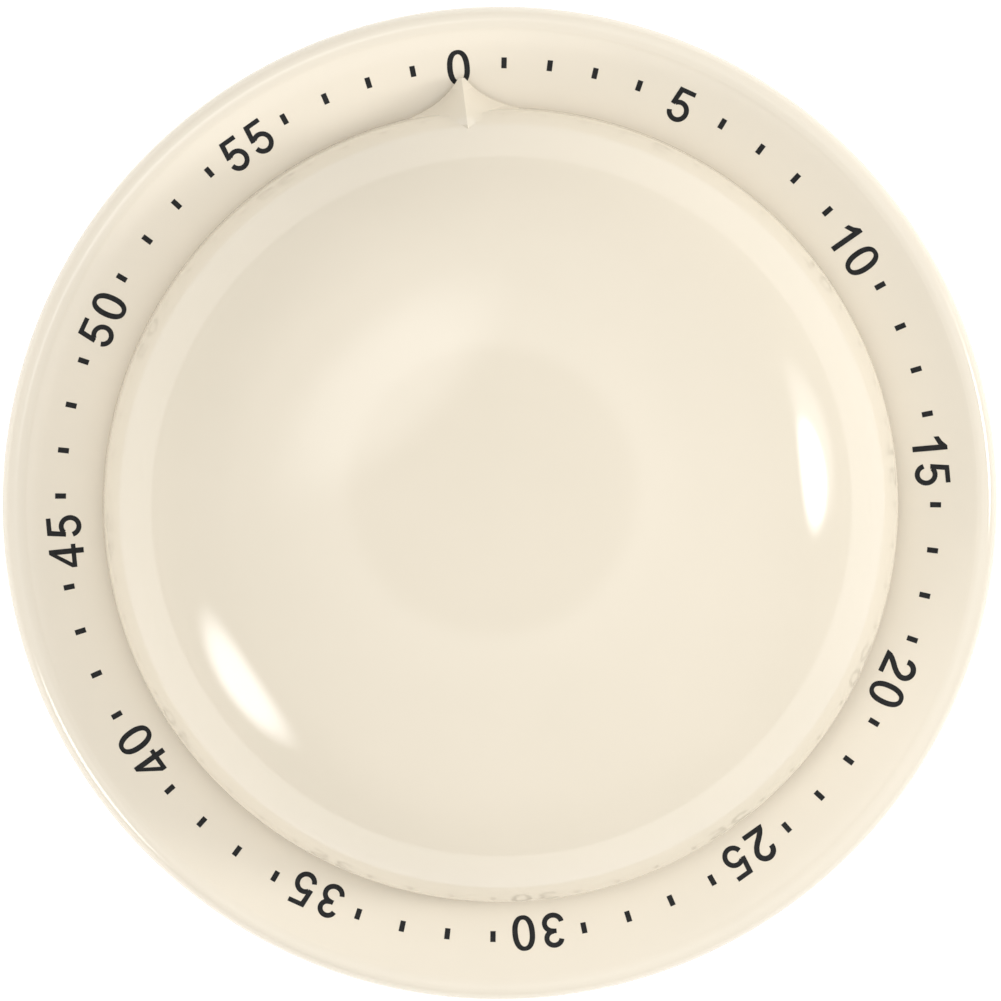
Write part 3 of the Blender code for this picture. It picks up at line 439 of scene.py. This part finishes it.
def dome_z(radius):
    """Height of the outside of the dome at this radius, on its second arc."""
    (first_end, first, _), (_, second, _), _ = KNOB_ARCS
    start = math.radians(first_end)
    sine = math.sin(start) + (radius - first * math.sin(start)) / second
    fall = first * (1 - math.cos(start)) + second * (math.cos(start) - math.sqrt(1 - sine**2))
    return KNOB_BOTTOM_Z + knob_height() - fall


def nib():
    """Pointed ridge on the edge of the knob at zero, lofted from leaning five-cornered sections.

    Its flanks widen from the tip as a cubic, and its ridge drops into the dome at its inner end.
    """
    edge_z = NIB_BOTTOM_Z + NIB_EDGE
    tip_z, root_z = edge_z + NIB_TIP_RISE, dome_z(NIB_ROOT) + NIB_PROUD
    stations = []
    for i in range(NIB_STEPS + 1):
        along = i / NIB_STEPS
        stations.append((along, NIB_TIP - along * (NIB_TIP - NIB_ROOT), tip_z + along * (root_z - tip_z)))
    stations.append((1.0, NIB_END, dome_z(NIB_END) - NIB_SINK))
    points, faces = [], []
    for along, ridge_y, ridge_z in stations:
        foot_y = NIB_TIP - (NIB_TIP - ridge_y) * NIB_LEAN
        half = NIB_WIDTHS[0] + NIB_WIDTHS[1] * along + NIB_WIDTHS[2] * along**3
        points += [(-half, foot_y, NIB_BOTTOM_Z), (half, foot_y, NIB_BOTTOM_Z)]
        points += [(half, foot_y, edge_z), (0.0, ridge_y, ridge_z), (-half, foot_y, edge_z)]
    last = len(stations) - 1
    for i in range(last):
        for j in range(5):
            k = (j + 1) % 5
            faces.append([5 * i + j, 5 * i + k, 5 * i + 5 + k, 5 * i + 5 + j])
    faces += [list(range(5)), list(range(5 * last, 5 * last + 5))]
    return mesh_object("nib", points, faces)


def knob(material):
    """Hollow domed knob with a rounded bottom edge and its nib."""
    outer, inner = knob_curve(0.0), knob_curve(KNOB_WALL)
    side, edge_z = outer[-1][0] + KNOB_EDGE_FLARE, KNOB_BOTTOM_Z + KNOB_EDGE
    edge = [(side, edge_z)] + arc((side - KNOB_EDGE, edge_z), (KNOB_EDGE, KNOB_EDGE), -15, -90, 5)
    edge.append((inner[-1][0], KNOB_BOTTOM_Z))
    dome = lathe("domed_knob", outer + edge + inner[::-1], material)
    combine(dome, [nib()], "UNION")
    return stands_for(dome, "knob", "cream_gloss", "knob_shell")


# Printed scale


def thick_line(points, width):
    """Closed outline of a line of constant width with mitred corners."""
    left, right = [], []
    for i, point in enumerate(points):
        here = Vector(point)
        before = (here - Vector(points[i - 1])).normalized() if i else None
        after = (Vector(points[i + 1]) - here).normalized() if i + 1 < len(points) else None
        along = ((before or after) + (after or before)).normalized()
        side = Vector((-along.y, along.x))
        square = side.dot(Vector((-(after or before).y, (after or before).x)))
        reach = side * (width / 2 / square)
        left.append(tuple(here + reach))
        right.append(tuple(here - reach))
    return left + right[::-1]


def superellipse(half_width, half_height, power, steps):
    """Loop round the middle of a unit-high digit."""
    loop = []
    for i in range(steps):
        turn = 2 * math.pi * i / steps
        c, s = math.cos(turn), math.sin(turn)
        x = math.copysign(abs(c) ** (2 / power), c) * half_width
        loop.append((x, 0.5 + math.copysign(abs(s) ** (2 / power), s) * half_height))
    return loop


def digit_strokes():
    """Digits one unit high as (outlines to join, outlines to cut away), with x measured from the middle."""
    zero = [superellipse(DIGIT_HALF, 0.51, 2.3, 40)], [superellipse(DIGIT_HALF - STROKE, 0.385, 2.2, 32)]
    stem_left, stem_right = 0.02, 0.02 + STROKE
    flag = [(stem_right - 0.12, 1.0), (-0.08, 0.86), (-0.22, 0.78), (-0.22, 0.63), (stem_left, 0.75)]
    one = [[(stem_left, 0.0), (stem_right, 0.0), (stem_right, 1.0)] + flag], []
    hook = arc((0.0, 0.70), (0.237, 0.232), 188.0, -28.0, 22)
    neck = [(0.15, 0.495), (0.06, 0.40), (-0.05, 0.31), (-0.15, 0.215), (-0.215, 0.13), (-0.24, 0.06)]
    two = [thick_line(hook + neck, STROKE)], []
    two[0].append([(-0.335, 0.0), (0.325, 0.0), (0.325, BAR + 0.01), (-0.20, BAR + 0.01), (-0.318, 0.07)])
    upper = arc((-0.015, 0.73), (0.215, 0.20), 172.0, -90.0, 22)
    lower = arc((-0.015, 0.295), (0.245, 0.227), 90.0, -172.0, 24)
    waist = [(-0.10, 0.455), (0.0, 0.455), (0.0, 0.59), (-0.10, 0.59)]
    three = [thick_line(upper, BAR + 0.01), thick_line(lower, BAR + 0.01), waist], []
    four_outside = [(0.06, 0.0), (0.215, 0.0), (0.215, 0.225), (0.335, 0.225), (0.335, 0.355), (0.215, 0.355)]
    four_outside += [(0.215, 1.0), (0.085, 1.0), (-0.335, 0.37), (-0.335, 0.225), (0.06, 0.225)]
    four = [four_outside], [[(0.06, 0.355), (0.06, 0.77), (-0.205, 0.355)]]
    bowl = arc((0.0, 0.325), (0.245, 0.255), 132.0, -168.0, 26)
    five = [thick_line(bowl, STROKE - 0.015)], []
    five_top = [(-0.215, 1.0), (-0.29, 0.47), (-0.155, 0.455)]
    five[0].append(five_top + [(-0.085, 1.0 - BAR), (0.28, 1.0 - BAR), (0.28, 1.0)])
    return [zero, one, two, three, four, five]


def digit_meshes():
    """Each digit as a helper object, one unit of numeral height tall and one millimetre deep."""
    def flat_prism(outline):
        return prism("digit", outline, 0.0, 1.0)

    made = []
    for number, (join, away) in enumerate(digit_strokes()):
        item = flat_prism(join[0])
        for outline in join[1:]:
            combine(item, [flat_prism(outline)], "UNION")
        if away:
            combine(item, [flat_prism(outline) for outline in away], "DIFFERENCE")
        item.name = f"digit_{number}"
        made.append(item)
    return made


def on_dial(x, y, top):
    """Point of the print at this place of the dial, on its top or its bottom."""
    x, y = x + PRINT_OFFSET[0], y + PRINT_OFFSET[1]
    return x, y, dial_z(math.hypot(x, y)) + (INK_TOP if top else INK_BOTTOM)


def printed(name, shapes, material):
    """One object from (points, faces) lists; each point is already in place."""
    points, faces = [], []
    for shape_points, shape_faces in shapes:
        start = len(points)
        points += shape_points
        faces += [[start + i for i in face] for face in shape_faces]
    return stands_for(mesh_object(name, points, faces, material), "case", None)


def outwards_and_across(minute):
    """Unit vectors at a minute of the dial: away from the centre, and clockwise."""
    heading = 90.0 - 360.0 * minute / MINUTES
    return Vector(polar(1.0, heading)), Vector(polar(1.0, heading - 90.0))


def numerals(material):
    """Numbers every five minutes, with their tops outwards."""
    digits = digit_meshes()
    shapes = []
    for minute in range(0, MINUTES, MINUTES_PER_NUMERAL):
        up, right = outwards_and_across(minute)
        text = str(minute)
        for place, character in enumerate(text):
            shift = (place - (len(text) - 1) / 2) * NUMERAL_ADVANCE
            mesh = digits[int(character)].data
            points = []
            for vertex in mesh.vertices:
                x, y, z = (c / MM for c in vertex.co)
                spot = right * (shift + x * NUMERAL_HEIGHT) + up * (NUMERAL_BASE_RADIUS + y * NUMERAL_HEIGHT)
                points.append(on_dial(spot.x, spot.y, z > 0.5))
            shapes.append((points, [list(face.vertices) for face in mesh.polygons]))
    for digit in digits:
        bpy.data.objects.remove(digit)
    return printed("printed_numerals", shapes, material)


def minute_marks(material):
    """Short bars at the minutes that have no number."""
    corners = [(-1, TICK_INNER), (1, TICK_INNER), (1, TICK_OUTER), (-1, TICK_OUTER)]
    faces = [[3, 2, 1, 0], [4, 5, 6, 7]] + [[i, (i + 1) % 4, (i + 1) % 4 + 4, i + 4] for i in range(4)]
    shapes = []
    for minute in range(MINUTES):
        if minute % MINUTES_PER_NUMERAL == 0:
            continue
        up, right = outwards_and_across(minute)
        points = []
        for top in (False, True):
            for side, radius in corners:
                spot = up * radius + right * (side * TICK_WIDTH / 2)
                points.append(on_dial(spot.x, spot.y, top))
        shapes.append((points, faces))
    return printed("printed_minute_marks", shapes, material)


# Back cover, foot, screws and bell


def back_cover(material):
    """Swelling bowl with a groove for the foot, sound slots, posts, and recesses for the screws."""
    top, steps = SEAM_Z - SEAM_GAP / 2, 40
    low = BASE_Z + BASE_CORNER
    outer = []
    for i in range(steps + 1):
        up = i / steps
        swell = (OUTER_RADIUS - BACK_INSET - BASE_RADIUS) * (1 - (1 - up) ** BACK_SWELL_POWER)
        outer.append((BASE_RADIUS + swell, low + up * (top - low)))
    inner = [(radius - BACK_WALL, z) for radius, z in outer[::-2] if z > FLOOR_TOP_Z + FLOOR_CHAMFER]
    floor = [(BASE_RADIUS - WALL - FLOOR_CHAMFER, FLOOR_TOP_Z), (0.0, FLOOR_TOP_Z), (0.0, BASE_Z)]
    groove_inner, groove_outer = FOOT_INNER - FOOT_GAP, FOOT_OUTER + FOOT_GAP
    groove_z = FOOT_TOP_Z + FOOT_GAP
    groove = [(groove_inner, BASE_Z), (groove_inner, groove_z)]
    groove += [(groove_outer, groove_z), (groove_outer, BASE_Z)]
    corner_centre = (BASE_RADIUS - BASE_CORNER, BASE_Z + BASE_CORNER)
    corner = arc(corner_centre, (BASE_CORNER, BASE_CORNER), -90.0, -8.0, 12)
    cover = lathe("back_cover", outer + inner + floor + groove + corner, material)
    posts, bores = posts_and_bores(POST_ANGLES, POST_CIRCLE, BACK_POST, BACK_POST_BORE)
    recess = [(0.0, 0.0), (RECESS_RADIUS, 0.0), (RECESS_RADIUS, RECESS_TOP_Z), (0.0, RECESS_TOP_Z)]
    places = [polar(POST_CIRCLE, angle) for angle in POST_ANGLES]
    recesses = [lathe("recess", recess, at=place, segments=SCREW_SEGMENTS) for place in places]
    slots = []
    half = SLOT_WIDTH / 2
    ends = arc((SLOT_OUTER - half, 0.0), (half, half), -90, 90, 10)
    ends += arc((SLOT_INNER + half, 0.0), (half, half), 90, 270, 10)
    for i in range(SLOT_COUNT):
        outline = turned(ends, 360 * (i + 0.5) / SLOT_COUNT)
        slots.append(prism("slot", outline, 0.0, FLOOR_TOP_Z + CUT_PAST))
    combine(cover, posts, "UNION")
    combine(cover, bores + recesses + slots, "DIFFERENCE")
    return stands_for(cover, "case", "cream_gloss", "rear_shell")


def foot(material):
    """Rubber ring with rounded lower edges, seated in the groove of the back cover."""
    profile = arc((FOOT_OUTER - FOOT_EDGE, FOOT_EDGE), (FOOT_EDGE, FOOT_EDGE), -90, 0, 6)
    profile += [(FOOT_OUTER, FOOT_TOP_Z), (FOOT_INNER, FOOT_TOP_Z)]
    profile += arc((FOOT_INNER + FOOT_EDGE, FOOT_EDGE), (FOOT_EDGE, FOOT_EDGE), 180, 270, 6)
    return stands_for(lathe("rubber_foot", profile, material), "case", "rubber", "foot_ring")


def base_screws(material):
    """Slotted pan-head screws, sunk in the back cover."""
    for number, angle in enumerate(POST_ANGLES, 1):
        place = polar(POST_CIRCLE, angle)
        profile = arc((0.0, SCREW_DOME_Z), (SCREW_HEAD_RADIUS, SCREW_DOME_HEIGHT), -90, 0, 10)
        profile += [(SCREW_HEAD_RADIUS, SCREW_HEAD_TOP_Z), (SHANK_RADIUS, SCREW_HEAD_TOP_Z)]
        profile += [(SHANK_RADIUS, SHANK_TOP_Z - SHANK_CHAMFER), (SHANK_RADIUS - SHANK_CHAMFER, SHANK_TOP_Z)]
        profile.append((0.0, SHANK_TOP_Z))
        screw = lathe("screw", profile, material, at=place, segments=SCREW_SEGMENTS)
        reach, half = SCREW_HEAD_RADIUS + DRIVER_SLOT_PAST, DRIVER_SLOT_WIDTH / 2
        corners = [(-reach, -half), (reach, -half), (reach, half), (-reach, half)]
        outline = turned(corners, angle + DRIVER_SLOT_TURN, place)
        combine(screw, [prism("slot", outline, BASE_Z, DRIVER_SLOT_TOP_Z)], "DIFFERENCE")
        screw.name = f"base_screw_{number}"
        stands_for(screw, "case", "steel", f"case_screw_{number}")


def bell(material):
    """Thin-walled cup, open upwards."""
    outside = arc(BELL_CORNER, (BELL_CORNER_OUTER, BELL_CORNER_OUTER), -90, -8, 24)
    inside = arc(BELL_CORNER, (BELL_CORNER_INNER, BELL_CORNER_INNER), -10, -90, 24)
    edge = [(BELL_OUTER, BELL_EDGE_Z), (BELL_INNER, BELL_EDGE_Z)]
    profile = [(BELL_BORE, BELL_BOTTOM_Z)] + outside + edge + inside + [(BELL_BORE, BELL_FLOOR_Z)]
    return stands_for(lathe("bell_cup", profile, material), "case", "bell_metal", "bell")


# What stays as CAD, with its own finish


def finish_cad_nodes(looks):
    """Gives each CAD node the material that its slot in the record calls for."""
    look_of = {"cream_gloss": "cream", "rubber": "rubber", "brass": "brass", "steel": "steel"}
    look_of.update(spring_steel="spring", bell_metal="bell")
    for part in frame["record"]["subparts"]:
        item = frame["nodes"][part["node"]]
        item.data.materials.clear()
        item.data.materials.append(looks[look_of[part["material_slot"]]])


# Studio


def studio():
    """Wide pale floor just under the foot."""
    plane = bpy.data.meshes.new("floor")
    signs = ((-1, -1), (1, -1), (1, 1), (-1, 1))
    plane.from_pydata([(FLOOR_REACH * x, FLOOR_REACH * y, 0) for x, y in signs], [], [[0, 1, 2, 3]])
    floor = bpy.data.objects.new("floor", plane)
    floor.location.z = -FLOOR_DROP
    bpy.context.scene.collection.objects.link(floor)
    surface = bpy.data.materials.new("white_floor")
    surface.use_nodes = True
    shader = surface.node_tree.nodes["Principled BSDF"]
    shader.inputs["Base Color"].default_value = (0.9, 0.9, 0.9, 1.0)
    shader.inputs["Emission Color"].default_value = (1.0, 1.0, 1.0, 1.0)
    shader.inputs["Emission Strength"].default_value = FLOOR_GLOW
    shader.inputs["Roughness"].default_value = 0.8
    plane.materials.append(surface)


def surroundings():
    """White tent with a darker opening overhead, brighter on one side, and soft windows in it."""
    world = bpy.data.worlds.new("tent")
    bpy.context.scene.world = world
    world.use_nodes = True
    tree = world.node_tree
    direction = tree.nodes.new("ShaderNodeTexCoord").outputs["Generated"]

    def node(kind, **settings):
        made = tree.nodes.new("ShaderNode" + kind)
        for setting, value in settings.items():
            setattr(made, setting, value)
        return made

    def link(source, node, socket):
        tree.links.new(source, node.inputs[socket])

    parts, ramp = node("SeparateXYZ"), node("ValToRGB")
    link(direction, parts, "Vector")
    link(parts.outputs["Z"], ramp, "Fac")
    set_stops(ramp, [(position, (level, level, level)) for position, level in TENT_LEVELS])
    side = node("VectorMath", operation="DOT_PRODUCT")
    link(direction, side, 0)
    side.inputs[1].default_value = BRIGHTER_SIDE
    tent = node("Math", operation="MULTIPLY_ADD")
    link(side.outputs["Value"], tent, 0)
    tent.inputs[1].default_value = BRIGHTER_BY
    tent.inputs[2].default_value = 1.0
    level = node("Math", operation="MULTIPLY")
    link(ramp.outputs["Color"], level, 0)
    link(tent.outputs["Value"], level, 1)
    total = level.outputs["Value"]
    for name, heading, elevation, along, up, brightness in WINDOWS:
        rise, turn = math.radians(elevation), math.radians(heading)
        place = node("Mapping", vector_type="TEXTURE", name=name)
        link(direction, place, "Vector")
        place.inputs["Location"].default_value = (
            math.cos(rise) * math.cos(turn), math.cos(rise) * math.sin(turn), math.sin(rise))
        place.inputs["Rotation"].default_value = (0.0, -rise, turn)
        place.inputs["Scale"].default_value = (1.0, math.radians(along), math.radians(up))
        fade = node("TexGradient", gradient_type="SPHERICAL")
        link(place.outputs["Vector"], fade, "Vector")
        glow = node("MapRange", interpolation_type="SMOOTHSTEP")
        link(fade.outputs["Fac"], glow, "Value")
        glow.inputs["From Max"].default_value = WINDOW_FADE
        glow.inputs["To Max"].default_value = brightness
        add = node("Math", operation="ADD")
        link(total, add, 0)
        link(glow.outputs["Result"], add, 1)
        total = add.outputs["Value"]
    background = tree.nodes["Background"]
    tree.links.new(total, background.inputs["Color"])
    background.inputs["Strength"].default_value = TENT_STRENGTH


def camera():
    """Long lens far away, tilted a little from straight above and turned a little about its view."""
    data = bpy.data.cameras.new("camera")
    data.lens, data.sensor_width = LENS, SENSOR
    data.clip_start, data.clip_end = 0.01, 20.0
    item = bpy.data.objects.new("camera", data)
    tilt = math.radians(CAMERA_TILT)
    towards = CAMERA_TILT_TOWARDS.normalized() * math.sin(tilt)
    back = Vector((towards.x, towards.y, math.cos(tilt)))
    right = CAMERA_UP.cross(back).normalized()
    up = back.cross(right)
    item.matrix_world = Matrix((right, up, back)).transposed().to_4x4()
    item.location = (CAMERA_TARGET + back * CAMERA_DISTANCE) * MM
    bpy.context.scene.collection.objects.link(item)
    bpy.context.scene.camera = item


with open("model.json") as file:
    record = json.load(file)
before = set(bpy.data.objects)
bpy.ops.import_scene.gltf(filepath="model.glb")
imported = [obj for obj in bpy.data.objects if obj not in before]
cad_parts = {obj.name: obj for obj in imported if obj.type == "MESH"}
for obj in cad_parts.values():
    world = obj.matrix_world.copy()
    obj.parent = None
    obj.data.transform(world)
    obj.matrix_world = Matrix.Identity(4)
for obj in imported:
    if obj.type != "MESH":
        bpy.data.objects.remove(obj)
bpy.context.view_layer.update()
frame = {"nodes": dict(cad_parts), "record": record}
bpy.context.scene.view_settings.view_transform = "Standard"
camera()
studio()
surroundings()
looks = materials()
finish_cad_nodes(looks)
front_cover(looks["lightened_cream_cover"])
knob(looks["cream"])
numerals(looks["ink"])
minute_marks(looks["ink"])
back_cover(looks["lightened_cream_cover"])
foot(looks["rubber"])
base_screws(looks["steel"])
bell(looks["bell"])
